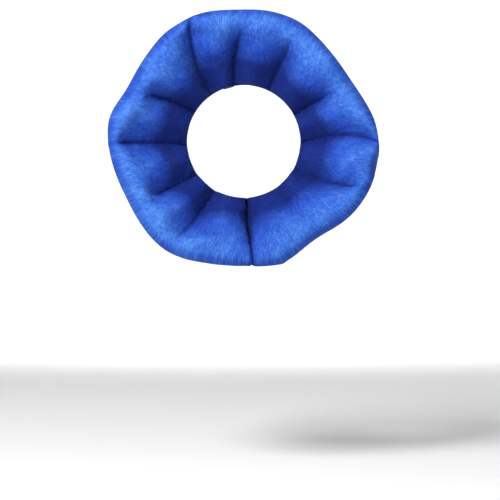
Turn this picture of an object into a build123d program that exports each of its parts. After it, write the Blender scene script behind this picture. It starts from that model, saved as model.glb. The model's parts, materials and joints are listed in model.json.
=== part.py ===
"""Soft elizabethan collar: a padded cone that a pet wears round its neck.

Twelve stuffed panels stand round the neck like petals, and a stitched seam joins each to the next.
The two end panels meet at the closure under the chin, where a tab with a hook strip reaches behind
the other end and grips its loop strip. Webbing loops behind the neck edge take the pet's own collar.

The origin is the centre of the neck opening, +Y runs back along the neck, -Y is the way the face
looks out of the cone, and +Z is up. Azimuth is measured from +X towards +Z. Millimetres, degrees.
"""

from build123d import *
import math
import os

# The cone
NECK_RADIUS = 58.0
CONE_SLOPE = 32.0  # how far each seam leans forward from the plane of the neck
# Azimuth and rim radius of each seam, anticlockwise from the closure, which is seam 0
SEAMS = [(-85, 127), (-54, 123), (-24, 134), (1, 135), (28, 122), (64, 128),
         (93, 130), (117, 132), (152, 127), (181, 136), (209, 133), (237, 135)]
RIM_BULGE = 2.0  # how far a panel's rim stands out past the line between its seams' ends

# The panels
PAD_HALF = 13.0  # half the thickness of a pad at its fattest, and the roundness of its rim
PAD_SWELL = 0.38  # half thickness gained per millimetre of half width
SEAM_EDGE = 1.6  # half thickness of a pad at its stitched edges
SEAM_GAP = 2.0  # between the stitched edges of two panels
COVER = 1.0  # thickness of the plush cover
FILL_ROOM = 1.2  # the filling starts this far inside the pad's outer surface
THREAD_RADIUS = 0.7
THREAD_SHARE = 0.9  # share of the seam that is stitched, from the neck outwards

# The neck edge, where the rear cover is turned over as a facing
FACING = 2.5
FACING_HALF_LENGTH = 5.0
FACING_BITE = 0.2  # the facing runs this far into the cover that it is part of

# The closure
STRIP_LENGTH = 52.0
STRIP_WIDTH = 20.0
STRIP_THICK = 1.0
STRIP_OFF_SEAM = 6.0
STRIP_FIRST = 20.0  # from the neck edge to the strips
STRIP_PLAY = 0.3  # between the hook strip and the loop strip
SEAT_TILT = 22.0  # how far the flat seat under the strips leans back from its panel
SEAT_DEPTH = 2.0  # how far behind its panel's middle the seat is at the seam
TAB_THICK = 1.4
TAB_MARGIN = 4.0
TAB_ROOT = -3.0  # the tab's hinge line is this far past the seam, behind the last panel

# Loops for the pet's own collar, and the care label
LOOP_PANELS = {"right": 4, "top": 7, "left": 10, "bottom": 12}
LOOP_GAP = 10.0
LOOP_LENGTH = 42.0
LOOP_WIDTH = 12.0
WEBBING = 1.2
LOOP_RADIUS = 61.0  # inner face of a loop
SEWN_IN = -4.0  # loops and label start this far behind the plane of the neck, inside the pad
LABEL_PANEL = 6
LABEL_THICK = 0.7
LABEL_LENGTH = 32.0
LABEL_WIDTH = 16.0
LABEL_RADIUS = 63.0

# Worked out
APEX = Vector(0, NECK_RADIUS * math.tan(math.radians(CONE_SLOPE)), 0)
NECK_LENGTH = NECK_RADIUS / math.cos(math.radians(CONE_SLOPE))  # apex to neck edge, along a seam
PANELS = len(SEAMS)
FAR = 400.0  # longer than anything in the part


def azimuth(seam):
    """Azimuth of a seam. The closure comes round again as the last one."""
    return SEAMS[seam % PANELS][0] + (360 if seam >= PANELS else 0)


def seam_direction(seam):
    """Unit vector along a seam, from the cone's apex towards the rim."""
    slope = math.radians(CONE_SLOPE)
    turn = math.radians(azimuth(seam))
    return Vector(math.cos(slope) * math.cos(turn), -math.sin(slope), math.cos(slope) * math.sin(turn))


def seam_length(seam):
    """Distance from the apex to the rim along a seam."""
    return SEAMS[seam % PANELS][1] / math.cos(math.radians(CONE_SLOPE))


def panel_plane(panel):
    """A panel's own plane: origin at the apex, x along its middle, y anticlockwise, z to the front."""
    first = seam_direction(panel - 1)
    last = seam_direction(panel)
    return Plane(origin=APEX, x_dir=(first + last).normalized(), z_dir=first.cross(last).normalized())


def half_angle(panel):
    """Half the angle between a panel's two seams, in radians."""
    return math.radians(seam_direction(panel - 1).get_angle(seam_direction(panel))) / 2


def half_width(panel, along, inset):
    """Half the width of a panel, that far along its middle."""
    half = half_angle(panel)
    return along * math.tan(half) - (SEAM_GAP / 2 + inset) / math.cos(half)


def lens_section(panel, along, inset):
    """A pad's section across its middle line: thin at both edges, fat between."""
    wide = half_width(panel, along, inset)
    edge = max(SEAM_EDGE - inset, SEAM_EDGE / 4)
    tall = SEAM_EDGE + PAD_SWELL * half_width(panel, along, 0) - inset
    return Wire([
        Line((along, wide, -edge), (along, wide, edge)),
        ThreePointArc((along, wide, edge), (along, 0, tall), (along, -wide, edge)),
        Line((along, -wide, edge), (along, -wide, -edge)),
        ThreePointArc((along, -wide, -edge), (along, 0, -tall), (along, wide, -edge)),
    ])


def lens(panel, inset):
    """A pad that runs on past the neck edge and the rim."""
    ends = (NECK_LENGTH * 0.8, max(seam_length(panel - 1), seam_length(panel)) * 1.2)
    return Solid.make_loft([lens_section(panel, along, inset) for along in ends], ruled=True)


def rim_disc(panel, inset):
    """A thick disc with a round edge that follows the panel's rim."""
    half = half_angle(panel)
    near = seam_length(panel - 1)
    far = seam_length(panel)
    first = (near * math.cos(half), -near * math.sin(half))
    last = (far * math.cos(half), far * math.sin(half))
    middle = ((first[0] + last[0]) / 2 + (near + far) / 2 * (1 - math.cos(half)) + RIM_BULGE, 0)
    rim = ThreePointArc(first, middle, last)
    thick = PAD_HALF - inset
    flat = rim.radius - inset - thick
    profile = Wire([
        Line((0, 0, -thick), (flat, 0, -thick)),
        ThreePointArc((flat, 0, -thick), (flat + thick, 0, 0), (flat, 0, thick)),
        Line((flat, 0, thick), (0, 0, thick)),
        Line((0, 0, thick), (0, 0, -thick)),
    ])
    return Pos(*rim.arc_center) * revolve(Face(profile), axis=Axis.Z)


def neck_cylinder(radius):
    """A long cylinder round the neck's axis."""
    return Rot(90, 0, 0) * Cylinder(radius, FAR)


def seat_frame():
    """The closure's frame: x along the closure, y across the first panel's seat, -z out of its back."""
    turned = Rot(0, 0, -math.degrees(half_angle(1)))
    return panel_plane(1).location * turned * Rot(-SEAT_TILT, 0, 0)


def pad(panel, inset):
    """The outside of a panel's pad, or a smaller pad that far inside it."""
    body = panel_plane(panel).location * (lens(panel, inset) & rim_disc(panel, inset))
    if panel == 1:
        body = body & (seat_frame() * Pos(0, 0, FAR / 2 - SEAT_DEPTH + inset) * Box(FAR, FAR, FAR))
    return body - neck_cylinder(NECK_RADIUS + FACING + inset)


def half_space(panel, side):
    """Everything in front of a panel's middle for side 1, or behind it for side -1."""
    return panel_plane(panel).location * Pos(0, 0, side * FAR / 2) * Box(FAR, FAR, FAR)


def wedge(panel):
    """Everything between a panel's two stitched edges."""
    near = NECK_LENGTH / 2
    far = FAR / 2
    corners = [(near, -half_width(panel, near, 0)), (far, -half_width(panel, far, 0)),
               (far, half_width(panel, far, 0)), (near, half_width(panel, near, 0))]
    return panel_plane(panel).location * extrude(make_face(Polyline(*corners, close=True)), FAR / 4, both=True)


def facing(panel):
    """The rear cover's turned neck edge, a piece of a tube round the neck."""
    tube = neck_cylinder(NECK_RADIUS + FACING + FACING_BITE) - neck_cylinder(NECK_RADIUS)
    return tube & Box(FAR, 2 * FACING_HALF_LENGTH, FAR) & wedge(panel)


def front_cover(panel):
    """The half of the plush cover that faces out of the cone's mouth."""
    shell = (pad(panel, 0) - pad(panel, COVER)) & half_space(panel, 1)
    return shell - neck_cylinder(NECK_RADIUS + FACING + 2 * FACING_BITE)


def rear_cover(panel):
    """The half of the plush cover behind the pad, with its facing."""
    return ((pad(panel, 0) - pad(panel, COVER)) & half_space(panel, -1)) + facing(panel)


def seam_thread(seam):
    """The stitching along one seam, which is the line its two panels fold about."""
    length = (seam_length(seam) - NECK_LENGTH) * THREAD_SHARE
    start = APEX + seam_direction(seam) * (NECK_LENGTH + FACING + 1)
    along = Plane(origin=start, z_dir=seam_direction(seam)).location
    return along * Pos(0, 0, length / 2) * Cylinder(THREAD_RADIUS, length)


def strip(depth):
    """A strip of hook or loop tape, its front face that far behind the seat."""
    along = NECK_LENGTH + STRIP_FIRST + STRIP_LENGTH / 2
    across = STRIP_OFF_SEAM + STRIP_WIDTH / 2
    at = Pos(along, across, -(SEAT_DEPTH + depth + STRIP_THICK / 2))
    return seat_frame() * at * Box(STRIP_LENGTH, STRIP_WIDTH, STRIP_THICK)


def closure_tab(depth):
    """The tab behind the hook strip, round along its root so that it turns about that line."""
    length = STRIP_LENGTH + 2 * TAB_MARGIN
    width = STRIP_OFF_SEAM + STRIP_WIDTH + TAB_MARGIN - TAB_ROOT
    along = NECK_LENGTH + STRIP_FIRST + STRIP_LENGTH / 2
    sheet = Pos(along, TAB_ROOT + width / 2, 0) * Box(length, width, TAB_THICK)
    corners = sheet.edges().filter_by(Axis.Z).sort_by(Axis.Y)[-2:]
    root = Pos(along, TAB_ROOT, 0) * Rot(0, 90, 0) * Cylinder(TAB_THICK / 2, length)
    sewn = fillet(corners, 2 * TAB_MARGIN) + root
    return seat_frame() * Pos(0, 0, -(SEAT_DEPTH + depth + TAB_THICK / 2)) * sewn


def behind_neck(panel):
    """A frame at a panel's middle: x outwards from the neck, y back along it."""
    return Rot(0, -(azimuth(panel - 1) + azimuth(panel)) / 2, 0)


def collar_loop(panel):
    """A loop of webbing sewn in at the neck edge, open along the neck's circle."""
    outer = SlotOverall(LOOP_LENGTH, LOOP_GAP + 2 * WEBBING, rotation=90)
    inner = SlotOverall(LOOP_LENGTH - 2 * WEBBING, LOOP_GAP, rotation=90)
    ribbon = extrude(outer - inner, LOOP_WIDTH / 2, both=True)
    centre = Pos(LOOP_RADIUS + WEBBING + LOOP_GAP / 2, SEWN_IN + LOOP_LENGTH / 2, 0)
    return behind_neck(panel) * centre * ribbon - pad(panel, 0)


def care_label():
    """A blank satin label, sewn in at the neck edge."""
    centre = Pos(LABEL_RADIUS, SEWN_IN + LABEL_LENGTH / 2, 0)
    sheet = behind_neck(LABEL_PANEL) * centre * Box(LABEL_THICK, LABEL_LENGTH, LABEL_WIDTH)
    return sheet - pad(LABEL_PANEL, 0)


def build():
    """Every node of the part, by name."""
    nodes = {}
    for panel in range(1, PANELS + 1):
        nodes[f"front_cover_{panel:02d}"] = front_cover(panel)
        nodes[f"rear_cover_{panel:02d}"] = rear_cover(panel)
        nodes[f"filling_{panel:02d}"] = pad(panel, FILL_ROOM)
    for seam in range(1, PANELS):
        nodes[f"seam_thread_{seam:02d}"] = seam_thread(seam)
    nodes["loop_strip"] = strip(0)
    nodes["hook_strip"] = strip(STRIP_THICK + STRIP_PLAY)
    nodes["closure_tab"] = closure_tab(2 * STRIP_THICK + STRIP_PLAY)
    for place, panel in LOOP_PANELS.items():
        nodes[f"collar_loop_{place}"] = collar_loop(panel)
    nodes["care_label"] = care_label()
    return nodes


os.makedirs("parts", exist_ok=True)
for name, shape in build().items():
    export_step(shape, f"parts/{name}.step")
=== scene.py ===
"""The looks of a soft elizabethan collar, built round its CAD frame.

The plush cover is one padded shape: a front sheet and a rear sheet that meet at the neck edge, at the rim
and at the closure's two ends, and are stitched to each other along the seams. It is laid out as a grid.
Columns run outwards from the neck along the panels, and rings of rows go up the front sheet and back down
the rear one. Cloth simulation blows it up, and it is then cut half-way between the seams, so that each
piece lies over one seam. Lengths are in metres unless a name says otherwise.
"""

import json
import math

import bpy
import numpy as np
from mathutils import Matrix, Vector, noise

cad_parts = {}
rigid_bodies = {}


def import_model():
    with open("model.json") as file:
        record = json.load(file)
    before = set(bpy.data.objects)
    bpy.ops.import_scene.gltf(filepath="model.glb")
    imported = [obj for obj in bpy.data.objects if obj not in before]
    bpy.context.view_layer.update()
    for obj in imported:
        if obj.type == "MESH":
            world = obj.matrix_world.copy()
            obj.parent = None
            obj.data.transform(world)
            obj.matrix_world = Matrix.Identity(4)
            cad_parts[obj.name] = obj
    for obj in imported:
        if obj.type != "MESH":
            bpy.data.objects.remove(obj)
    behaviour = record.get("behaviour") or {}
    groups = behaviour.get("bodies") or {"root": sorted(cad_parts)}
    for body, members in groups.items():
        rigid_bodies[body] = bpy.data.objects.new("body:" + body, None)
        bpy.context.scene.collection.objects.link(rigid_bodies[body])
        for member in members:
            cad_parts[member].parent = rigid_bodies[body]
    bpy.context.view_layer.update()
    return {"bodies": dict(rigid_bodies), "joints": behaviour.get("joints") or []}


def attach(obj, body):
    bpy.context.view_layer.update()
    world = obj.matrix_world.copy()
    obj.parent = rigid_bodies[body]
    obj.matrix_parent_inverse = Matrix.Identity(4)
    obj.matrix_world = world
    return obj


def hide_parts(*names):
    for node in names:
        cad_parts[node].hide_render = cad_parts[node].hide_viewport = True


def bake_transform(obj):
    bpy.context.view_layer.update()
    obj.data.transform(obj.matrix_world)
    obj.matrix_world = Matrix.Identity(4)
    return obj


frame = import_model()
joints = {j["name"]: j for j in frame["joints"]}

MM = 0.001
PANELS = sum(name.startswith("panel_") for name in frame["bodies"])
ROOT_PANEL = 6  # the others hang on each other outwards from it

# Rim radius in mm at each seam from the closure on, and at the middle of the panel that follows it
RIM_AT_SEAMS = [127.5, 121, 135.5, 135.5, 122, 127, 128.5, 132.5, 125.5, 134, 128.5, 133.5]
RIM_AT_MIDDLES = [127.5, 129.5, 135, 128, 121.5, 128, 130, 127, 133.5, 130, 131.5, 126.5]
# How deep each seam pulls the pad in, and where its crease starts to fade and is gone, from 0 at the neck
# to 1 at the rim
PULL = [1.0, 0.5, 0.95, 1.0, 0.95, 0.95, 0.95, 1.0, 0.95, 1.0, 1.0, 1.0]
FADES_FROM = [1.2, 0.00, 0.70, 0.95, 0.40, 0.50, 0.50, 0.85, 0.55, 0.80, 0.60, 0.45]
GONE_BY = [1.3, 0.70, 1.05, 1.20, 0.92, 0.92, 0.95, 1.25, 0.98, 1.08, 0.88, 1.12]
# How many degrees each crease strays from its seam's line, at the neck and at the rim
STRAYS_AT_NECK = [-2.5, 0, -5.3, -3, 0, 0, 6, 8, -3, 2.5, 6, 3]
STRAYS_AT_RIM = [-0.8, 0, 2.5, -2.6, 0, 0, -5, -2.6, 6, 1.5, 1, -1]
BOWS = [0, 0, 0, 4.5, 0, 0, 0, 0, 0, -1.5, 0, 0]  # and how many more it is off half-way
# Which pad slopes down to the crease gently: 1 the one after it, -1 the one before, 0 both alike
LEANS = [0, 0, 1, 0.7, 0, 1, -0.5, -1, 0, -1, -1, -1]

COLUMN_STEP = 2.7 * MM
STRAIGHT_ROWS = 26
NECK_ROWS = 4
RIM_ROWS = 8
NECK_ROLL = 7 * MM
RIM_ROLL = 15 * MM
MIDDLE_RADIUS = 95 * MM  # half-way between neck and rim
LINE_WIDTH = 1.6 * MM  # of the line of painted shade at the bottom of a crease
FLANK_WIDTH = 7 * MM  # of the softer shade on either side of that line
FATTEST = 17 * MM  # half thickness that a wide panel tends to
SWELL_WIDTH = 24 * MM  # half width at which a panel is about three quarters as fat as that
SEAM_HALF = 0.9 * MM
CLOSURE_HALF_GAP = -0.1 * MM  # the closure's ends press against each other
END_ROUNDS = (10 * MM, 5 * MM)  # how far from the closure the first and last panels start to turn in
END_STEPS = 7
LUMP_SIZE = 22 * MM  # of the filling's unevenness
SEAM_STITCH = (3.0 * MM, 1.0 * MM)  # a stitch's length, and the gap after it
TAB_STITCH = (2.4 * MM, 0.8 * MM)
THREAD_RADIUS = 0.25 * MM

# The closure, in the first panel's seat: x along the closure from the neck edge, y across, z to the front
SEAT_TILT = 22.0  # degrees
SEAT_DEPTH = 2 * MM
STRIP_START = 20 * MM
STRIP_LENGTH = 52 * MM
STRIP_OFF_SEAM = 6 * MM
STRIP_WIDTH = 20 * MM
STRIP_THICK = 1 * MM
STRIP_PLAY = 0.3 * MM
TAB_THICK = 1.4 * MM
TAB_FRONT = -(2 * STRIP_THICK + STRIP_PLAY)  # the tab's front face
TAB_MARGIN = 4 * MM
TAB_ROOT = -3 * MM
TAB_CORNER = 8 * MM
TAB_ROLL = 1.2 * MM  # how far in from its edge the tab's cloth is rolled
TAB_SEWN = 2.6 * MM  # from the tab's edge to its topstitching
TAB_ROOM = 1.9 * MM  # the last panel's back stays this far behind the seat's plane
SEAT_MARGIN = 2 * MM  # the seat is flat this far round the strip
SEAT_FADE = 10 * MM
HOOK_BACKING = 0.45 * MM
LOOP_BACKING = 0.9 * MM
HOOK_ROWS = 30
HOOKS_ACROSS = 11

# The loops for the pet's own collar, and the care label
LOOP_PANELS = {"right": 4, "top": 7, "left": 10, "bottom": 12}
LOOP_GAP = 10 * MM
LOOP_LENGTH = 42 * MM
LOOP_WIDTH = 12 * MM
WEBBING = 1.2 * MM
LOOP_RADIUS = 61 * MM
SEWN_IN = -4 * MM
LABEL_PANEL = 6
LABEL_LENGTH = 32 * MM
LABEL_WIDTH = 16 * MM
LABEL_RADIUS = 63 * MM
LABEL_THICK = 0.4 * MM

# The studio: the camera looks level along +Y
CAMERA_DISTANCE = 1.45
CAMERA_SIDE = 6.5 * MM
CAMERA_HEIGHT = -111.8 * MM
RIM_FRONT = -49 * MM  # the distance counts from here
PICTURE_WIDTH = 0.5  # at that distance
SENSOR_WIDTH = 36  # in mm
FLOOR_HEIGHT = -0.352
FLOOR_RADIUS = 2.4
WALL_BEND = 1.2
WALL_HEIGHT = 5.0


# ---------------------------------------------------------------- the frame's seams


def read_azimuths():
    """Azimuth of each seam in radians, from the closure round to the closure again."""
    along = joints["closure_tab_peel"]["axis"]
    found = [math.atan2(-along[2], -along[0])]
    for seam in range(1, PANELS):
        x, _, z = joints[f"seam_fold_{seam:02d}"]["pos_m"]
        found.append(found[-1] + (math.atan2(z, x) - found[-1]) % math.tau)
    return np.array(found + [found[0] + math.tau])


AZIMUTHS = read_azimuths()
SLOPE = math.asin(abs(joints["seam_fold_06"]["axis"][1]))
NECK_RADIUS = math.hypot(*joints["seam_fold_06"]["pos_m"])
APEX = np.array([0, NECK_RADIUS * math.tan(SLOPE), 0])


def unit(v):
    """v, or each row of v, at length one."""
    return v / np.linalg.norm(v, axis=-1, keepdims=True)


def seam_direction(azimuth):
    """Unit vector along a seam, from the cone's apex towards the rim."""
    across = math.cos(SLOPE)
    return np.array([across * math.cos(azimuth), -math.sin(SLOPE), across * math.sin(azimuth)])


SEAMS = np.array([seam_direction(a) for a in AZIMUTHS])
FRONTS = unit(np.cross(SEAMS[:-1], SEAMS[1:]))  # each panel's normal, towards the front
HALF_ANGLES = np.arccos((SEAMS[:-1] * SEAMS[1:]).sum(1)) / 2


# ---------------------------------------------------------------- the pad's shape before it is blown up


def smooth(x, low=0.0, high=1.0):
    """0 below low, 1 above high, with an even curve between."""
    t = np.clip((x - low) / (high - low), 0, 1)
    return t * t * (3 - 2 * t)


def through(knots, t):
    """A smooth curve through evenly spaced knots that go round in a ring."""
    i = np.floor(t).astype(int)
    f = t - i
    a, b, c, d = (np.asarray(knots, float)[(i + k) % len(knots)] for k in (-1, 0, 1, 2))
    return b + 0.5 * f * (c - a + f * (2 * a - 5 * b + 4 * c - d + f * (3 * (b - c) + d - a)))


def end_turn(panel):
    """How far from an end panel's edge it starts to turn in, as a share of its half width."""
    rounds = np.where(np.asarray(panel) == 0, *END_ROUNDS)
    return rounds * math.cos(SLOPE) / MIDDLE_RADIUS / HALF_ANGLES[panel]


class Columns:
    """The grid's columns: each one's panel, how far across it, direction from the apex and normal."""

    def __init__(self):
        self.panel, self.across, self.middles = [], [], []
        for k in range(PANELS):
            steps = 2 * round(HALF_ANGLES[k] * MIDDLE_RADIUS / math.cos(SLOPE) / COLUMN_STEP)
            first = 0 if k == 0 else 1
            spots = np.linspace(-1, 1, steps + 1)
            if k in (0, PANELS - 1):
                spots = self.with_round_end(spots, k, -1 if k == 0 else 1)
            self.middles.append(len(self.panel) + int(np.argmin(np.abs(spots))) - first)
            self.panel += [k] * (len(spots) - first)
            self.across += list(spots[first:])
        self.panel = np.array(self.panel)
        self.across = np.array(self.across)
        self.seams = [0] + [int(np.flatnonzero(self.panel == k)[-1]) for k in range(PANELS)]
        half = HALF_ANGLES[self.panel]
        shifted = self.across.copy()
        gap = CLOSURE_HALF_GAP * math.cos(SLOPE) / MIDDLE_RADIUS / half
        shifted[self.panel == 0] += (gap * (1 - self.across) / 2)[self.panel == 0]
        shifted[self.panel == PANELS - 1] -= (gap * (1 + self.across) / 2)[self.panel == PANELS - 1]
        turned = half * (1 + shifted)
        first, last = SEAMS[self.panel], SEAMS[self.panel + 1]
        self.out = (
            np.sin(2 * half - turned)[:, None] * first + np.sin(turned)[:, None] * last
        ) / np.sin(2 * half)[:, None]
        self.azimuth = AZIMUTHS[self.panel] + turned / half / 2 * np.diff(AZIMUTHS)[self.panel]
        self.front = self.normals()
        widths = self.out[:, [0, 2]]
        spread = np.linalg.norm(widths, axis=1)
        knots = np.ravel(np.column_stack([RIM_AT_SEAMS, RIM_AT_MIDDLES]))
        self.neck = NECK_RADIUS / spread
        self.rim = through(knots, 2 * self.panel + 1 + self.across) * MM / spread

    def with_round_end(self, spots, k, side):
        """The columns of an end panel, closer together where its end turns in at the closure."""
        turn = end_turn(k)
        angles = np.arange(END_STEPS) / END_STEPS * math.pi / 2
        ends = side * (1 - turn * (1 - np.cos(angles)))
        return np.sort(np.concatenate([spots[side * spots < 1 - turn], ends]))

    def normals(self):
        """Front normals that turn smoothly from one panel to the next near each seam."""
        k, u = self.panel, self.across
        other = np.clip(k + np.sign(u).astype(int), 0, PANELS - 1)
        share = smooth(np.abs(u), 0.6, 1.4)[:, None]
        return unit(FRONTS[k] * (1 - share) + FRONTS[other] * share)


def side_values(columns, values):
    """A value for each column that goes evenly from one seam's value to the next's."""
    ring = np.append(values, values[0])
    t = (columns.across + 1) / 2
    return ring[columns.panel] * (1 - t) + ring[columns.panel + 1] * t


def row_plan():
    """For each row: its share of the straight part, its place in the neck and rim rolls, its fullness."""
    plan = []
    for j in range(NECK_ROWS):
        a = j / NECK_ROWS * math.pi / 2
        plan.append((0.0, 1 - math.cos(a), 0.0, math.sin(a)))
    for j in range(STRAIGHT_ROWS + 1):
        plan.append((j / STRAIGHT_ROWS, 1.0, 0.0, 1.0))
    for j in range(1, RIM_ROWS + 1):
        a = j / RIM_ROWS * math.pi / 2
        plan.append((1.0, 1.0, math.sin(a), math.cos(a)))
    return np.array(plan)


def lumps(points, size, seed):
    """Smooth noise from about -1 to 1, whose lumps are that size."""
    shift = Vector((seed * 3.1, seed * 1.7, -seed * 2.3))
    values = [noise.noise(Vector(p) / size + shift) for p in points.reshape(-1, 3)]
    return np.array(values).reshape(points.shape[:-1])


def pad_grid(columns):
    """The padded shape as a grid of points: rings of rows up the front and down the rear, by columns.

    With it comes what is measured at each point: its distance from the apex, its share of the way from
    neck to rim, how strong the crease beside it is there, and how far away that is.
    """
    plan = row_plan()
    straight, neck_roll, rim_roll, full = (plan[:, i : i + 1] for i in range(4))
    start = columns.neck[None, :]
    stop = columns.rim[None, :] - RIM_ROLL
    along = start + NECK_ROLL * neck_roll + (stop - start - NECK_ROLL) * straight + RIM_ROLL * rim_roll
    share = (along - start) / (columns.rim[None, :] - start)

    half = HALF_ANGLES[columns.panel][None, :]
    beside = np.clip(columns.panel + np.sign(columns.across).astype(int), 0, PANELS - 1)
    near_seam = smooth(np.abs(columns.across), 0.4, 1.6)[None, :]
    half = half * (1 - near_seam) + HALF_ANGLES[beside][None, :] * near_seam
    fat = FATTEST * np.tanh(along * np.tan(half) / SWELL_WIDTH)

    u = np.abs(columns.across)[None, :]
    at_closure = ((columns.panel == 0) & (columns.across < 0)) | (
        (columns.panel == PANELS - 1) & (columns.across > 0)
    )
    at_closure = at_closure[None, :]
    fades, gone = side_values(columns, FADES_FROM)[None, :], side_values(columns, GONE_BY)[None, :]
    crease = 1 - smooth(share, fades, gone)
    crease = np.where(at_closure, 1, crease)
    loose = 1 - side_values(columns, PULL)[None, :] * crease
    loose = np.where(at_closure, 0, loose)
    middle = APEX + columns.out[None, :, :] * along[..., None]
    uneven = 1 + 0.10 * lumps(middle, LUMP_SIZE, 1)
    sheets = []
    turn = end_turn(columns.panel)[None, :]
    round_end = np.sqrt(np.clip(1 - ((u - 1 + turn) / turn) ** 2, 0, 1))
    round_end = np.where(u > 1 - turn, round_end, 1.0)
    lean = np.append(LEANS, LEANS[0])
    before, after = columns.across < 0, columns.across >= 0
    gentle = np.where(before, lean[columns.panel], 0) - np.where(after, lean[columns.panel + 1], 0)
    roundness = 2.1 * 1.5 ** -gentle[None, :]
    for side, closure_pillow in ((1, round_end * (1 - 0.35 * u**3)), (-1, 1 - u**1.6)):
        pillow = np.where(at_closure, closure_pillow, 1 - u**roundness)
        thin = np.where(at_closure, 0, SEAM_HALF)
        height = (thin + (fat - thin) * (loose + (1 - loose) * pillow)) * full * uneven
        sheets.append(middle + side * columns.front[None] * height[..., None])
    front, rear = sheets
    # At the closure the distance counts for less, so the painted shade along it comes out wider
    from_seam = (1 - u) * HALF_ANGLES[columns.panel][None, :] * along * np.where(at_closure, 0.3, 1)
    sharp = crease * smooth(side_values(columns, PULL), 0.5, 0.9)[None, :]
    measured = np.stack([along, share, sharp, from_seam], axis=-1)
    measured = np.concatenate([measured, measured[-2:0:-1]])
    grid = np.concatenate([front, rear[-2:0:-1]])
    return stray(grid, columns, measured[..., 1]), measured


def stray(grid, columns, share):
    """The grid turned a little about the neck's axis, so that the creases slant as STRAYS say."""
    inner = side_values(columns, STRAYS_AT_NECK)[None, :]
    outer = side_values(columns, STRAYS_AT_RIM)[None, :]
    bow = side_values(columns, BOWS)[None, :] * 4 * share * (1 - share)
    turn = np.radians(inner + (outer - inner) * share**1.5 + bow)
    x, z = grid[..., 0], grid[..., 2]
    turned = grid.copy()
    turned[..., 0] = x * np.cos(turn) - z * np.sin(turn)
    turned[..., 2] = x * np.sin(turn) + z * np.cos(turn)
    return turned


# ---------------------------------------------------------------- grid work


def with_ghosts(grid):
    """The grid with one more column at each end, where front and rear sheet run on into each other."""
    swap = (-np.arange(len(grid))) % len(grid)
    return np.concatenate([grid[swap][:, 1:2], grid, grid[swap][:, -2:-1]], axis=1)


def grid_normals(grid):
    """Outward normals of the closed grid."""
    around = np.roll(grid, -1, axis=0) - np.roll(grid, 1, axis=0)
    wide = with_ghosts(grid)
    across = wide[:, 2:] - wide[:, :-2]
    raw = np.cross(around, across)
    length = np.linalg.norm(raw, axis=-1, keepdims=True)
    return raw / np.maximum(length, 1e-12)


def refine(grid):
    """The grid with a point added half-way between each two, on a smooth curve through its neighbours."""

    def between(a, b, c, d):
        return (9 * (b + c) - a - d) / 16

    shape = (2 * len(grid), *grid.shape[1:])
    tall = np.empty(shape)
    tall[::2] = grid
    tall[1::2] = between(np.roll(grid, 1, 0), grid, np.roll(grid, -1, 0), np.roll(grid, -2, 0))
    wide = np.empty((len(tall), 2 * tall.shape[1] - 1, *tall.shape[2:]))
    ghosts = with_ghosts(tall)
    wide[:, ::2] = tall
    wide[:, 1::2] = between(ghosts[:, :-3], ghosts[:, 1:-2], ghosts[:, 2:-1], ghosts[:, 3:])
    return wide


def refine_plain(values):
    """As refine, with straight averages."""
    tall = np.repeat(values, 2, axis=0)
    tall[1::2] = (values + np.roll(values, -1, 0)) / 2
    wide = np.repeat(tall, 2, axis=1)[:, :-1]
    wide[:, 1::2] = (tall[:, 1:] + tall[:, :-1]) / 2
    return wide


def grid_faces(rows, columns):
    """Quads over a grid of points, counted row by row."""
    at = np.arange(rows * columns).reshape(rows, columns)
    quads = np.stack([at[:-1, :-1], at[1:, :-1], at[1:, 1:], at[:-1, 1:]], axis=-1)
    return quads.reshape(-1, 4)


def new_mesh(name, points, faces, material):
    """A smooth mesh object from arrays."""
    mesh = bpy.data.meshes.new(name)
    mesh.from_pydata(np.asarray(points, float).reshape(-1, 3).tolist(), [], np.asarray(faces).tolist())
    mesh.polygons.foreach_set("use_smooth", [True] * len(mesh.polygons))
    mesh.update()
    obj = bpy.data.objects.new(name, mesh)
    bpy.context.scene.collection.objects.link(obj)
    if material is not None:
        mesh.materials.append(material)
    return obj


# ---------------------------------------------------------------- cloth


def blow_up(grid, columns, measured, frames=20, pressure=4.0, growth=0.03, cap=5 * MM):
    """The grid after cloth simulation, with the seams, the neck edge and the closure's ends held."""
    rings, count = grid.shape[:2]
    faces = grid_faces(rings, count)
    at = np.arange(rings * count).reshape(rings, count)
    last = np.stack([at[-1, :-1], at[0, :-1], at[0, 1:], at[-1, 1:]], axis=-1)
    obj = new_mesh("pad_cloth", grid, np.concatenate([faces, last]), None)
    held = np.zeros((rings, count), bool)
    held[0] = True
    held[:, [0, -1]] = True
    for column in columns.seams[1:-1]:
        held[measured[:, column, 2] > 0.5, column] = True
    group = obj.vertex_groups.new(name="held")
    group.add(np.flatnonzero(held.ravel()).tolist(), 1, "REPLACE")
    cloth = obj.modifiers.new("cloth", "CLOTH")
    settings = cloth.settings
    settings.quality = 5
    settings.mass = 0.3
    settings.tension_stiffness = 15
    settings.compression_stiffness = 15
    settings.shear_stiffness = 8
    settings.bending_stiffness = 0.3
    settings.air_damping = 2
    settings.vertex_group_mass = "held"
    settings.use_pressure = True
    settings.uniform_pressure_force = pressure
    settings.shrink_min = -growth
    settings.effector_weights.gravity = 0
    cloth.point_cache.frame_start = 1
    cloth.point_cache.frame_end = frames
    scene = bpy.context.scene
    for step in range(1, frames + 1):
        scene.frame_set(step)
    blown = obj.evaluated_get(bpy.context.evaluated_depsgraph_get())
    points = np.empty(rings * count * 3)
    blown.data.vertices.foreach_get("co", points)
    moved = points.reshape(grid.shape) - grid
    scene.frame_set(1)
    bpy.data.objects.remove(obj)
    far = np.linalg.norm(moved, axis=-1, keepdims=True)
    return grid + moved * np.minimum(1, cap * np.tanh(far / cap) / np.maximum(far, 1e-9))


# ---------------------------------------------------------------- materials


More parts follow.
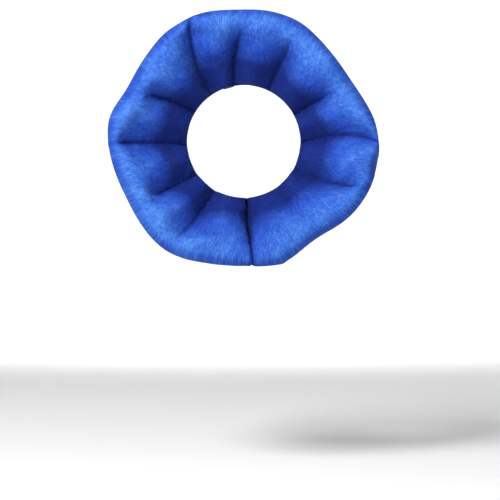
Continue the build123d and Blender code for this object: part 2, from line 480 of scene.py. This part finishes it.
class Nodes:
    """A short way to write a material's nodes."""

    def __init__(self, name):
        self.material = bpy.data.materials.new(name)
        self.material.use_nodes = True
        self.tree = self.material.node_tree
        self.shader = self.tree.nodes["Principled BSDF"]

    def put(self, socket, value):
        """Link the socket to value, or set it where value is a plain one."""
        if isinstance(value, bpy.types.NodeSocket):
            self.tree.links.new(value, socket)
        else:
            socket.default_value = value

    def math(self, operation, a, b=0.0):
        node = self.tree.nodes.new("ShaderNodeMath")
        node.operation = operation
        self.put(node.inputs[0], a)
        self.put(node.inputs[1], b)
        return node.outputs[0]

    def scaled(self, vector, scale):
        node = self.tree.nodes.new("ShaderNodeMapping")
        self.put(node.inputs["Vector"], vector)
        node.inputs["Scale"].default_value = scale
        return node.outputs[0]

    def turned(self, vector, degrees):
        node = self.tree.nodes.new("ShaderNodeMapping")
        self.put(node.inputs["Vector"], vector)
        node.inputs["Rotation"].default_value = (0, 0, math.radians(degrees))
        return node.outputs[0]

    def clamped(self, value):
        node = self.tree.nodes.new("ShaderNodeClamp")
        self.put(node.inputs[0], value)
        return node.outputs[0]

    def noise(self, vector, scale, detail=2.0, rough=0.5):
        node = self.tree.nodes.new("ShaderNodeTexNoise")
        self.put(node.inputs["Vector"], vector)
        node.inputs["Scale"].default_value = scale
        node.inputs["Detail"].default_value = detail
        node.inputs["Roughness"].default_value = rough
        return node.outputs[0]

    def ramp(self, factor, stops):
        node = self.tree.nodes.new("ShaderNodeValToRGB")
        self.put(node.inputs[0], factor)
        while len(node.color_ramp.elements) < len(stops):
            node.color_ramp.elements.new(0.5)
        for element, (place, colour) in zip(node.color_ramp.elements, stops):
            element.position = place
            element.color = (*colour, 1)
        return node.outputs[0]

    def bump(self, height, strength, distance):
        node = self.tree.nodes.new("ShaderNodeBump")
        self.put(node.inputs["Height"], height)
        node.inputs["Strength"].default_value = strength
        node.inputs["Distance"].default_value = distance
        self.tree.links.new(node.outputs[0], self.shader.inputs["Normal"])


def plush():
    """Royal blue short pile, brushed outwards from the neck, with painted shade multiplied into its colour.
    """
    n = Nodes("plush")
    uv = n.tree.nodes.new("ShaderNodeUVMap")
    uv.uv_map = "pile"
    sway = n.noise(uv.outputs[0], 90, 2)
    swayed = n.tree.nodes.new("ShaderNodeVectorMath")
    swayed.operation = "MULTIPLY_ADD"
    n.put(swayed.inputs[0], sway)
    swayed.inputs[1].default_value = (0.003, 0.002, 0)
    n.put(swayed.inputs[2], uv.outputs[0])
    pile = swayed.outputs[0]
    outwards = n.noise(n.scaled(pile, (1000, 230, 1)), 1, 3, 0.7)
    aslant = n.noise(n.scaled(n.turned(pile, 65), (1000, 230, 1)), 1, 3, 0.7)
    which = n.math("SUBTRACT", n.noise(uv.outputs[0], 30, 1), 0.5)
    which = n.clamped(n.math("MULTIPLY", which, 8))
    streaks = n.math("ADD", outwards, n.math("MULTIPLY", which, n.math("SUBTRACT", aslant, outwards)))
    clumps = n.noise(n.scaled(pile, (300, 110, 1)), 1, 3, 0.5)
    tips = n.noise(n.scaled(pile, (2600, 1100, 1)), 1, 2, 0.5)
    brushed = n.noise(n.scaled(uv.outputs[0], (1, 0.7, 1)), 42, 3, 0.6)
    tone = n.math("ADD", n.math("MULTIPLY", streaks, 0.75), n.math("MULTIPLY", clumps, 0.3))
    tone = n.math("ADD", tone, n.math("MULTIPLY", brushed, 0.42))
    tone = n.math("SUBTRACT", tone, 0.225)
    blues = [(0.26, (0.008, 0.034, 0.27)), (0.50, (0.028, 0.102, 0.43)), (0.74, (0.084, 0.228, 0.55))]
    colour = n.ramp(tone, blues)
    # Painted shade: the colour is multiplied down to darker blues where the cover's attribute marks creases,
    # the gaps between pads, the inner part near the neck and the rim's edge
    painted_shade_attribute = n.tree.nodes.new("ShaderNodeAttribute")
    painted_shade_attribute.attribute_name = "painted_shade"
    shades = [(0.0, (1, 1, 1)), (0.5, (0.44, 0.52, 0.82)), (1.0, (0.05, 0.07, 0.24))]
    shade = n.ramp(painted_shade_attribute.outputs["Fac"], shades)
    mix = n.tree.nodes.new("ShaderNodeMix")
    mix.data_type = "RGBA"
    mix.blend_type = "MULTIPLY"
    mix.inputs["Factor"].default_value = 1
    n.put(mix.inputs["A"], colour)
    n.put(mix.inputs["B"], shade)
    n.put(n.shader.inputs["Base Color"], mix.outputs["Result"])
    n.put(n.shader.inputs["Roughness"], n.ramp(tips, [(0.3, (0.75,) * 3), (0.7, (0.95,) * 3)]))
    n.shader.inputs["Specular IOR Level"].default_value = 0.15
    n.shader.inputs["Sheen Weight"].default_value = 0.05
    n.shader.inputs["Sheen Roughness"].default_value = 0.35
    n.shader.inputs["Sheen Tint"].default_value = (0.35, 0.58, 1.0, 1)
    height = n.math("ADD", n.math("MULTIPLY", streaks, 0.6), n.math("MULTIPLY", tips, 0.4))
    n.bump(height, 0.8, 0.0008)
    return n.material


def woven(name, dark, light, scale, rough=0.75):
    """Plain cloth or webbing with a fine weave."""
    n = Nodes(name)
    place = n.tree.nodes.new("ShaderNodeTexCoord").outputs["Object"]
    thread = n.noise(n.scaled(place, (scale, scale * 0.35, scale)), 1, 2)
    worn = n.noise(place, 90, 3)
    tone = n.math("ADD", n.math("MULTIPLY", thread, 0.6), n.math("MULTIPLY", worn, 0.4))
    n.put(n.shader.inputs["Base Color"], n.ramp(tone, [(0.3, dark), (0.7, light)]))
    n.shader.inputs["Roughness"].default_value = rough
    n.shader.inputs["Specular IOR Level"].default_value = 0.2
    n.bump(thread, 0.5, 0.0003)
    return n.material


# ---------------------------------------------------------------- the closure's seat


class Seat:
    """The flat back of the first panel: x along the closure from the neck edge, y across, z to the front."""

    def __init__(self):
        along, front = SEAMS[0], FRONTS[0]
        beside = np.cross(front, along)
        tilt = math.radians(SEAT_TILT)
        across = math.cos(tilt) * beside - math.sin(tilt) * front
        facing = math.sin(tilt) * beside + math.cos(tilt) * front
        self.axes = np.array([along, across, facing])
        self.origin = APEX + along * NECK_RADIUS / math.cos(SLOPE) - facing * SEAT_DEPTH

    def local(self, points):
        return (points - self.origin) @ self.axes.T

    def world(self, points):
        return np.asarray(points) @ self.axes + self.origin


def clear_of_neck(grid):
    """The grid with nothing inside the neck opening's radius. The limit takes hold softly."""
    radius = np.hypot(grid[..., 0], grid[..., 2])
    soft = 0.8 * MM
    held = NECK_RADIUS + soft * np.logaddexp(0, (radius - NECK_RADIUS) / soft)
    clear = grid.copy()
    clear[..., 0] *= held / radius
    clear[..., 2] *= held / radius
    return clear


def press_on_seat(grid, columns, seat):
    """The grid with the first panel's back pressed flat under the strip, and the last's clear of the tab."""
    rear = np.arange(len(grid)) > len(grid) // 2
    local = seat.local(grid)
    x, y, z = local[..., 0], local[..., 1], local[..., 2]
    first = rear[:, None] & (columns.panel == 0)[None, :]
    last = rear[:, None] & (columns.panel == PANELS - 1)[None, :]
    soft = 0.5 * MM
    lifted = soft * np.logaddexp(0, z / soft)
    near = STRIP_START - SEAT_MARGIN
    far = STRIP_START + STRIP_LENGTH + SEAT_MARGIN
    beyond = STRIP_OFF_SEAM + STRIP_WIDTH + SEAT_MARGIN
    under = smooth(x, near - SEAT_FADE, near) * (1 - smooth(x, far, far + SEAT_FADE))
    pulled = under * smooth(y, 0, 5 * MM) * (1 - smooth(y, beyond, beyond + 6 * MM))
    flat = np.where(z > 0, lifted * (1 - pulled), lifted)
    limit = -TAB_ROOM - 1.2 * np.maximum(0, TAB_ROOT - y)
    clear = limit + soft * np.logaddexp(0, (z - limit) / soft)
    z = np.where(first, flat, np.where(last, clear, z))
    return seat.world(np.stack([x, y, z], axis=-1))


# ---------------------------------------------------------------- the cover


def iron(grid, measured):
    """The grid with its finest wrinkles smoothed, except close to a seam and round the neck edge."""
    along, from_seam = measured[..., 0], measured[..., 3]
    weight = smooth(from_seam, 2 * MM, 7 * MM) * smooth(along - along.min(axis=0), 4 * MM, 12 * MM)
    weight = 0.5 * weight[..., None]
    soft = grid
    for _ in range(4):
        wide = with_ghosts(soft)
        around = (wide[:, :-2] + wide[:, 2:] + np.roll(soft, 1, 0) + np.roll(soft, -1, 0)) / 4
        soft = soft + weight * (around - soft)
    return soft


def melt_rim(grid, measured):
    """The grid with its creases smoothed away at the rim, where the seams have ended."""
    share, crease = measured[..., 1], measured[..., 2]
    weight = (smooth(share, 0.78, 0.92) * (1 - smooth(crease, 0, 0.3)))[..., None]
    weight[:, :5] = weight[:, -5:] = 0
    soft = grid
    for _ in range(14):
        wide = with_ghosts(soft)
        soft = soft + weight * 0.5 * ((wide[:, :-2] + wide[:, 2:]) / 2 - soft)
    return soft


def painted_shade_amounts(grid, measured):
    """How much painted shade darkens the plush at each point, from 0 on top of a pad to 1 deep in a crease.

    The shade is painted between fat pads, at the bottom of a crease and on its flanks, on the inner part of
    the front sheet, and along the edge of the rim.
    """
    share, crease, from_seam = (measured[..., i] for i in (1, 2, 3))
    middle = (grid + grid[(-np.arange(len(grid))) % len(grid)]) / 2
    high = np.linalg.norm(grid - middle, axis=-1)
    reach = int(8 * MM / (COLUMN_STEP / 2))
    wide = np.pad(high, ((0, 0), (reach, reach)), mode="edge")
    around = np.max([wide[:, k : k + high.shape[1]] for k in range(2 * reach + 1)], axis=0)
    # Painted shade between fat pads, weaker towards the rim
    between = 0.65 * np.clip((around - high) / (9 * MM), 0, 1) * (1.0 - 0.4 * share)
    # Painted shade: a dark line at the bottom of each crease, and softer shade on its flanks
    bottom = 0.72 * np.exp(-((from_seam / LINE_WIDTH) ** 2))
    flanks = 0.26 * np.exp(-((from_seam / FLANK_WIDTH) ** 2))
    line = (bottom + flanks) * crease
    # Painted shade on the inner part of the front sheet, darkest towards the neck
    inside = np.minimum(2.0 * np.maximum(1 - share, 0) ** 1.7, 0.93)
    inside = inside * smooth(-np.arange(len(grid)), -len(grid) / 2 - 4, -len(grid) / 2 + 4)[:, None]
    # Painted shade along the rim's edge
    edge = 0.4 * smooth(share, 0.96, 1.0)
    return 1 - (1 - between) * (1 - line) * (1 - inside) * (1 - edge)


def cut_pieces(grid, uvs, painted_shade, columns, material):
    """The refined grid in pieces: one over each seam, front and rear, and the two ends at the closure."""
    normals = grid_normals(grid)
    rings = len(grid)
    rim = rings // 2
    sheets = {"front": np.arange(0, rim + 1), "rear": np.r_[np.arange(rim, rings), 0]}
    cuts = [0] + [2 * m for m in columns.middles] + [grid.shape[1] - 1]
    made = {}
    for sheet, rows in sheets.items():
        for part in range(len(cuts) - 1):
            span = np.arange(cuts[part], cuts[part + 1] + 1)
            name = f"{sheet}_plush_{part:02d}"
            block = np.ix_(rows, span)
            obj = new_mesh(name, grid[block], grid_faces(len(rows), len(span)), material)
            add_uv(obj, uvs[block])
            # Each piece carries the shade painted into its plush as a point attribute
            painted_shade_attribute = obj.data.attributes.new("painted_shade", "FLOAT", "POINT")
            painted_shade_attribute.data.foreach_set("value", painted_shade[block].ravel())
            obj.data.normals_split_custom_set_from_vertices(normals[block].reshape(-1, 3).tolist())
            made[sheet, part] = obj
    return made


def add_uv(obj, uv):
    """A UV map that gives each point its place on the pile."""
    layer = obj.data.uv_layers.new(name="pile")
    corners = np.empty(len(obj.data.loops), int)
    obj.data.loops.foreach_get("vertex_index", corners)
    layer.data.foreach_set("uv", uv.reshape(-1, 2)[corners].ravel())


def seam_bend(obj):
    """obj, with its place baked into its mesh, for a piece that lies over a seam."""
    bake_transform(obj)


def make_cover(seat, material):
    """The whole plush cover. Gives back its columns, its grid of points and what is measured at each."""
    columns = Columns()
    grid, measured = pad_grid(columns)
    grid = iron(blow_up(grid, columns, measured), measured)
    grid = melt_rim(grid, measured)
    grid = press_on_seat(clear_of_neck(grid), columns, seat)
    along = measured[..., 0]
    uv = np.stack([np.broadcast_to(columns.azimuth * MIDDLE_RADIUS, along.shape), along], axis=-1)
    fine = refine(grid)
    # Shade painted into the plush: in creases, between pads, near the neck and along the rim's edge
    painted_shade = painted_shade_amounts(fine, refine_plain(measured))
    pieces = cut_pieces(fine, refine_plain(uv), painted_shade, columns, material)
    for (sheet, part), obj in pieces.items():
        if part == 0:
            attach(obj, "panel_01")
        elif part == PANELS:
            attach(obj, f"panel_{PANELS:02d}")
        else:
            seam_bend(obj)
        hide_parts(f"{sheet}_cover_{min(part + 1, PANELS):02d}")
    return columns, grid, measured


# ---------------------------------------------------------------- flat pieces


def slab(name, top, bottom, material, uv=None):
    """A closed flat piece between two grids of points."""
    rows, count = top.shape[:2]
    at = np.arange(rows * count).reshape(rows, count)
    edge = np.concatenate([at[0, :-1], at[:-1, -1], at[-1, :0:-1], at[:0:-1, 0]])
    following = np.roll(edge, -1)
    under = rows * count
    walls = np.stack([edge, following, following + under, edge + under], axis=-1)
    faces = np.concatenate([grid_faces(rows, count), grid_faces(rows, count)[:, ::-1] + under, walls])
    obj = new_mesh(name, np.concatenate([top.reshape(-1, 3), bottom.reshape(-1, 3)]), faces, material)
    if uv is not None:
        add_uv(obj, np.concatenate([uv.reshape(-1, 2)] * 2))
    return obj


def threads(name, stitches, material):
    """Short stitches, each a low arch from one point to the next that stands up along its normal."""
    sides, steps, radius = 6, 6, THREAD_RADIUS
    points, faces = [], []
    for start, stop, normal in stitches:
        along = unit(stop - start)
        beside = np.cross(normal, along)
        base = len(points)
        for step in range(steps + 1):
            t = step / steps
            thick = radius * (1 - abs(2 * t - 1) ** 3 * 0.7)
            centre = start + (stop - start) * t + normal * radius * (0.8 * math.sin(math.pi * t) - 0.3)
            for side in range(sides):
                a = side / sides * math.tau
                points.append(centre + thick * (math.cos(a) * beside + math.sin(a) * normal))
        for step in range(steps):
            for side in range(sides):
                here, there = base + step * sides + side, base + step * sides + (side + 1) % sides
                faces.append([here, there, there + sides, here + sides])
        faces.append(list(range(base, base + sides))[::-1])
        faces.append(list(range(base + steps * sides, base + (steps + 1) * sides)))
    obj = bpy.data.objects.new(name, bpy.data.meshes.new(name))
    obj.data.from_pydata([tuple(p) for p in points], [], faces)
    obj.data.polygons.foreach_set("use_smooth", [True] * len(faces))
    obj.data.materials.append(material)
    bpy.context.scene.collection.objects.link(obj)
    return obj


def sample(values, reach, places):
    """Values at those places along reach, on straight lines between its rows."""
    return np.stack([np.interp(places, reach, values[:, i]) for i in range(3)], axis=-1)


def distances(points):
    """How far along the line of points each one is."""
    return np.concatenate([[0], np.cumsum(np.linalg.norm(np.diff(points, axis=0), axis=1))])


def stitch_line(points, normals, stitch):
    """Stitches with gaps between along a line of points: where each starts and stops, and its normal."""
    reach = distances(points)
    length, gap = stitch
    starts = np.arange(gap, reach[-1] - length, length + gap)
    middles = unit(sample(normals, reach, starts + length / 2))
    return list(zip(sample(points, reach, starts), sample(points, reach, starts + length), middles))


def make_fillings(columns, grid, material):
    """The stuffing of each panel, a little inside its cover."""
    half = len(grid) // 2
    for panel in range(PANELS):
        span = np.flatnonzero((columns.panel == panel) & (np.abs(columns.across) < 0.78))
        rows = np.arange(4, half - 5)
        front, rear = grid[np.ix_(rows, span)], grid[np.ix_(-rows % len(grid), span)]
        middle = (front + rear) / 2
        reach = np.linalg.norm(front - middle, axis=-1, keepdims=True)
        inner = np.maximum(1 - 3 * MM / np.maximum(reach, 1e-6), 0.2)
        top, bottom = middle + (front - middle) * inner, middle + (rear - middle) * inner
        obj = slab(f"stuffing_{panel + 1:02d}", top, bottom, material)
        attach(obj, f"panel_{panel + 1:02d}")
        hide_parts(f"filling_{panel + 1:02d}")


def make_seam_stitches(columns, grid, measured, material):
    """The stitching down each seam, front and rear, to where its crease has faded by half."""
    normals = grid_normals(grid)
    half = len(grid) // 2
    for seam in range(1, PANELS):
        column = columns.seams[seam]
        stitches = []
        for rows in (np.arange(3, half), -np.arange(3, half) % len(grid)):
            rows = rows[measured[rows, column, 1] < (FADES_FROM[seam] + GONE_BY[seam]) / 2]
            stitches += stitch_line(grid[rows, column], normals[rows, column], SEAM_STITCH)
        obj = threads(f"seam_stitches_{seam:02d}", stitches, material)
        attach(obj, f"panel_{seam if seam >= ROOT_PANEL else seam + 1:02d}")
        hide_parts(f"seam_thread_{seam:02d}")


# ---------------------------------------------------------------- the closure tab and its strips


def make_tab_cloth(seat, front, material):
    """The tab's cloth: two layers with a rolled edge, round at its two free corners."""
    long = STRIP_LENGTH + 2 * TAB_MARGIN
    reach = STRIP_OFF_SEAM + STRIP_WIDTH + TAB_MARGIN
    y = TAB_ROOT + (reach - TAB_ROOT) * np.sin(np.linspace(0, math.pi / 2, 33))
    into = np.maximum(y - (reach - TAB_CORNER), 0)
    half = long / 2 - TAB_CORNER + np.sqrt(np.maximum(TAB_CORNER**2 - into**2, 0))
    v = np.sin(np.linspace(-math.pi / 2, math.pi / 2, 57))
    x = STRIP_START + STRIP_LENGTH / 2 + half[:, None] * v[None, :]
    yy = np.broadcast_to(y[:, None], x.shape)
    from_edge = np.minimum(half[:, None] * (1 - np.abs(v))[None, :], reach - yy)
    roll = np.sqrt(np.clip(1 - (1 - np.minimum(from_edge / TAB_ROLL, 1)) ** 2, 0, 1)) * TAB_THICK / 2
    groove = 0.25 * MM * np.exp(-(((from_edge - TAB_SEWN) / (0.6 * MM)) ** 2))
    middle = front - TAB_THICK / 2
    place = np.stack([x, yy, np.zeros_like(x)], axis=-1)
    wavy = 0.12 * MM * lumps(place, 6 * MM, 5)
    top = np.stack([x, yy, middle + roll - groove], axis=-1)
    bottom = np.stack([x, yy, middle - roll + groove + wavy], axis=-1)
    return slab("tab_cloth", seat.world(top), seat.world(bottom), material, np.stack([x, yy], axis=-1))


def tab_outline(inset):
    """Points just inside the tab's three free edges, from root to root."""
    long = STRIP_LENGTH + 2 * TAB_MARGIN
    reach = STRIP_OFF_SEAM + STRIP_WIDTH + TAB_MARGIN - inset
    middle = STRIP_START + STRIP_LENGTH / 2
    half = long / 2 - inset
    corner = TAB_CORNER - inset
    turns = np.linspace(0, math.pi / 2, 9)
    x = middle + half - corner + corner * np.cos(turns)
    y = reach - corner + corner * np.sin(turns)
    right = np.column_stack([np.append(x[0], x), np.append(TAB_ROOT + 1 * MM, y)])
    left = [2 * middle, 0] + right[::-1] * [-1, 1]
    return np.concatenate([right, left])


def make_tab(seat, materials):
    """The closure tab with its hook strip, and the loop strip on the first panel."""
    cloth = make_tab_cloth(seat, TAB_FRONT, materials["plush"])
    line = tab_outline(TAB_SEWN)
    stitches = []
    for side, height in ((1, TAB_FRONT), (-1, TAB_FRONT - TAB_THICK)):
        points = seat.world(np.column_stack([line, np.full(len(line), height - side * 0.2 * MM)]))
        normals = np.broadcast_to(side * seat.axes[2], points.shape)
        stitches += stitch_line(points, normals, TAB_STITCH)
    topstitch = threads("tab_topstitching", stitches, materials["thread"])
    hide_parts("closure_tab")

    hooks = strip_field("hook_tape", seat, TAB_FRONT, HOOK_BACKING, -1, materials["hooks"])
    bristles = hook_field(seat, TAB_FRONT + HOOK_BACKING, materials["hooks"])
    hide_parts("hook_strip")
    loops = strip_field("loop_tape", seat, 0, LOOP_BACKING, 1, materials["loops"])
    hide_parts("loop_strip")
    for piece in (cloth, topstitch, hooks, bristles):
        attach(piece, "closure_tab")
    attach(loops, "panel_01")


def make_tab_root(seat, columns, grid, materials):
    """The sewn end of the tab: a strip that runs from the tab's hinge line on to the last panel's back."""
    normals = grid_normals(grid)
    x_end = seat.local(grid[:, -1])[:, 0]
    start, stop = STRIP_START - TAB_MARGIN, STRIP_START + STRIP_LENGTH + TAB_MARGIN
    rear = np.arange(len(grid)) > len(grid) // 2
    rows = np.flatnonzero(rear & (x_end > start) & (x_end < stop))
    last = np.flatnonzero(columns.panel == PANELS - 1)
    spots = np.linspace(6 * MM, 13 * MM, 6)  # from the closure
    heights = np.array([1.3, 1.3, 1.2, 1.1, 1.0, 0.5])[:, None] * MM  # above the plush at those spots
    upper, lower, sewn_at, sewn_normals = [], [], [], []
    for row in rows:
        from_seam = np.abs(seat.local(grid[row, last])[:, 1])
        order = np.argsort(from_seam)
        sewn = sample(grid[row, last[order]], from_seam[order], spots)
        out = unit(sample(normals[row, last[order]], from_seam[order], spots))
        hinge = [x_end[row], TAB_ROOT, TAB_FRONT]
        upper.append([seat.world(hinge - np.array([0, 0, TAB_THICK])), *(sewn + out * heights)])
        lower.append([seat.world(hinge), *(sewn - out * 0.3 * MM)])
        sewn_at.append(sewn[3] + out[3] * 1.0 * MM)
        sewn_normals.append(out[3])
    uv = np.stack(np.broadcast_arrays(x_end[rows][:, None], np.linspace(0, 0.015, 7)[None, :]), axis=-1)
    root = slab("tab_root", np.array(upper), np.array(lower), materials["plush"], uv)
    line = stitch_line(np.array(sewn_at), np.array(sewn_normals), TAB_STITCH)
    stitches = threads("tab_root_stitches", line, materials["thread"])
    for piece, slot in ((root, "plush_tab"), (stitches, "thread")):
        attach(piece, f"panel_{PANELS:02d}")


def strip_field(name, seat, base, thick, side, material):
    """A strip of tape whose pile faces the front for side -1 and the rear for side 1."""
    along = np.linspace(STRIP_START, STRIP_START + STRIP_LENGTH, 105)
    x, y = np.meshgrid(along, np.linspace(STRIP_OFF_SEAM, STRIP_OFF_SEAM + STRIP_WIDTH, 41), indexing="ij")
    place = np.stack([x, y, np.zeros_like(x)], axis=-1)
    edge = np.minimum.reduce([x - x[0, 0], x[-1, 0] - x, y - y[0, 0], y[0, -1] - y])
    bordered = smooth(edge, 1.2 * MM, 2.0 * MM)
    pile = bordered * (0.25 * MM + 0.25 * MM * lumps(place, 1.2 * MM, 8)) * (side > 0)
    outer = base - side * (thick - 0.35 * MM + pile)
    lower = np.stack([x, y, np.broadcast_to(base, x.shape)], axis=-1)
    upper = np.stack([x, y, np.broadcast_to(outer, x.shape)], axis=-1)
    top, bottom = (lower, upper) if side > 0 else (upper, lower)
    return slab(name, seat.world(top), seat.world(bottom), material, np.stack([x, y], axis=-1))


def hook_field(seat, base, material):
    """Rows of tiny bent hooks."""
    rng = np.random.default_rng(4)
    points, faces = [], []
    for i in range(HOOK_ROWS):
        for j in range(HOOKS_ACROSS):
            x = STRIP_START + 3 * MM + i * (STRIP_LENGTH - 6 * MM) / (HOOK_ROWS - 1)
            y = STRIP_OFF_SEAM + 2.5 * MM + j * (STRIP_WIDTH - 5 * MM) / (HOOKS_ACROSS - 1)
            lean = rng.normal(0, 0.06) * MM
            way = 1 if j % 2 else -1
            spine = [(0, 0), (0, 0.28), (0.08 * way, 0.42), (0.26 * way, 0.44), (0.36 * way, 0.33)]
            start = len(points)
            for sx, sz in spine:
                for dx, dy in ((-0.09, -0.12), (0.09, -0.12), (0.09, 0.12), (-0.09, 0.12)):
                    points.append((x + (sx + dx) * MM, y + dy * MM + lean, base + (sz - 0.05) * MM))
            for k in range(4):
                for q in range(4):
                    a, b = start + 4 * k + q, start + 4 * k + (q + 1) % 4
                    faces.append([a, b, b + 4, a + 4])
            faces.append([start + 19, start + 18, start + 17, start + 16])
    return new_mesh("hook_tape_hooks", seat.world(np.array(points)), faces, material)


# ---------------------------------------------------------------- webbing and label


def behind_neck(panel):
    """Unit vectors at a panel's middle: outwards from the neck, back along it, and round it."""
    middle = (AZIMUTHS[panel - 1] + AZIMUTHS[panel]) / 2
    out = np.array([math.cos(middle), 0, math.sin(middle)])
    back = np.array([0.0, 1.0, 0.0])
    return out, back, np.cross(out, back)


def ribbon(name, path, across, width, thick, material):
    """A woven ribbon along a path, with rounded selvedges."""
    normals = unit(np.cross(np.gradient(path, axis=0), across))
    v = np.linspace(-1, 1, 13)
    half = thick / 2 * (1 - 0.75 * np.abs(v) ** 8)
    side = across[None, None, :] * (v * width / 2)[None, :, None]
    top = path[:, None, :] + side + normals[:, None, :] * half[None, :, None]
    bottom = path[:, None, :] + side - normals[:, None, :] * half[None, :, None]
    uv = np.stack(np.broadcast_arrays(v[None, :] * width / 2, distances(path)[:, None]), axis=-1)
    return slab(name, top, bottom, material, uv)


def make_loops(materials):
    """The four webbing loops behind the neck edge."""
    radius = LOOP_GAP / 2 + WEBBING / 2
    far = SEWN_IN + LOOP_LENGTH - radius - WEBBING / 2
    for number, (place, panel) in enumerate(LOOP_PANELS.items()):
        out, back, across = behind_neck(panel)
        turns = np.linspace(math.pi, 0, 17)
        run = np.linspace(SEWN_IN, far, 16)[:-1]
        there = [(-radius, y) for y in run]
        bend = [(radius * math.cos(a), far + radius * math.sin(a)) for a in turns]
        back_again = [(radius, y) for y in run[::-1]]
        flat = np.array(there + bend + back_again)
        sway = 0.9 * MM * np.sin(flat[:, 1] / far * math.pi) * (-1) ** number
        centre = LOOP_RADIUS + WEBBING + LOOP_GAP / 2
        path = out * (centre + flat[:, :1]) + back * flat[:, 1:] + across * sway[:, None]
        obj = ribbon(f"collar_webbing_{place}", path, across, LOOP_WIDTH, WEBBING, materials["webbing"])
        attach(obj, f"panel_{panel:02d}")
        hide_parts(f"collar_loop_{place}")


def make_label(materials):
    """The blank satin care label."""
    out, back, across = behind_neck(LABEL_PANEL)
    y = np.linspace(SEWN_IN, SEWN_IN + LABEL_LENGTH, 33)
    free = np.maximum(y - 4 * MM, 0) / LABEL_LENGTH
    radius = LABEL_RADIUS + 3 * MM * free**2 + 0.4 * MM * np.sin(free * 9)
    path = out * radius[:, None] + back * y[:, None]
    obj = ribbon("satin_label", path, across, LABEL_WIDTH, LABEL_THICK, materials["satin"])
    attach(obj, f"panel_{LABEL_PANEL:02d}")
    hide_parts("care_label")


# ---------------------------------------------------------------- studio


def studio():
    """Camera, backdrop and soft lights."""
    scene = bpy.context.scene
    scene.view_settings.view_transform = "Standard"
    camera = bpy.data.objects.new("camera", bpy.data.cameras.new("camera"))
    scene.collection.objects.link(camera)
    camera.location = (CAMERA_SIDE, RIM_FRONT - CAMERA_DISTANCE, CAMERA_HEIGHT)
    camera.rotation_euler = (math.pi / 2, 0, 0)
    camera.data.lens = SENSOR_WIDTH * CAMERA_DISTANCE / PICTURE_WIDTH
    camera.data.clip_end = 50
    scene.camera = camera
    make_backdrop()
    lamp("key", (-0.8, -1.75, 1.2), 0.6, 69)
    lamp("fill", (0.0, -1.8, -0.25), 1.0, 7)
    wash = lamp("backdrop_wash", (0, 1.2, 2.6), 0.3, 260, "SPOT")
    wash.data.spot_size = math.radians(75)
    wash.data.spot_blend = 0.5
    wash.rotation_euler = (math.radians(38), 0, 0)
    world = bpy.data.worlds.new("world")
    scene.world = world
    world.use_nodes = True
    world.node_tree.nodes["Background"].inputs["Color"].default_value = (1, 1, 1, 1)
    world.node_tree.nodes["Background"].inputs["Strength"].default_value = 0.2


def make_backdrop():
    """A pale paper floor that curves up into a wall all round."""
    turns = np.linspace(0, math.pi / 2, 17)
    bend = FLOOR_RADIUS + WALL_BEND * np.sin(turns)
    radii = np.concatenate([[0, 0.6, 1.2, 1.8], bend, [FLOOR_RADIUS + WALL_BEND]])
    heights = np.concatenate([[0] * 4, WALL_BEND * (1 - np.cos(turns)), [WALL_HEIGHT]]) + FLOOR_HEIGHT
    round_it = np.linspace(0, math.tau, 73)
    x = radii[:, None] * np.cos(round_it)
    y = radii[:, None] * np.sin(round_it)
    points = np.stack([x, y, np.broadcast_to(heights[:, None], x.shape)], axis=-1)
    n = Nodes("studio_paper")
    n.shader.inputs["Base Color"].default_value = (0.93, 0.93, 0.93, 1)
    n.shader.inputs["Roughness"].default_value = 0.9
    n.shader.inputs["Specular IOR Level"].default_value = 0.1
    new_mesh("backdrop", points, grid_faces(*x.shape)[:, ::-1], n.material)


def lamp(name, place, size, watts, kind="AREA"):
    """A soft lamp aimed at the object."""
    data = bpy.data.lights.new(name, kind)
    if kind == "AREA":
        data.size = size
    else:
        data.shadow_soft_size = size
    data.energy = watts
    obj = bpy.data.objects.new(name, data)
    obj.location = place
    obj.rotation_euler = (-Vector(place)).to_track_quat("-Z", "Y").to_euler()
    bpy.context.scene.collection.objects.link(obj)
    return obj


def make_materials():
    """Every material of the object, by name."""
    navy, blue = (0.003, 0.012, 0.10), (0.010, 0.042, 0.30)
    return {
        "plush": plush(),
        "thread": woven("thread", (0.002, 0.006, 0.05), (0.005, 0.018, 0.11), 3000, 0.8),
        "fibre": woven("polyester_fibre", (0.62, 0.62, 0.60), (0.9, 0.9, 0.88), 700, 0.95),
        "hooks": woven("hook_tape", navy, blue, 1500, 0.45),
        "loops": woven("loop_tape", navy, blue, 1800, 0.95),
        "webbing": woven("webbing", navy, blue, 1200, 0.7),
        "satin": woven("satin", (0.72, 0.72, 0.72), (0.92, 0.92, 0.92), 2500, 0.35),
    }


studio()
materials = make_materials()
closure_seat = Seat()
pad_columns, pad_points, pad_measured = make_cover(closure_seat, materials["plush"])
make_fillings(pad_columns, pad_points, materials["fibre"])
make_seam_stitches(pad_columns, pad_points, pad_measured, materials["thread"])
make_tab(closure_seat, materials)
make_tab_root(closure_seat, pad_columns, pad_points, materials)
make_loops(materials)
make_label(materials)
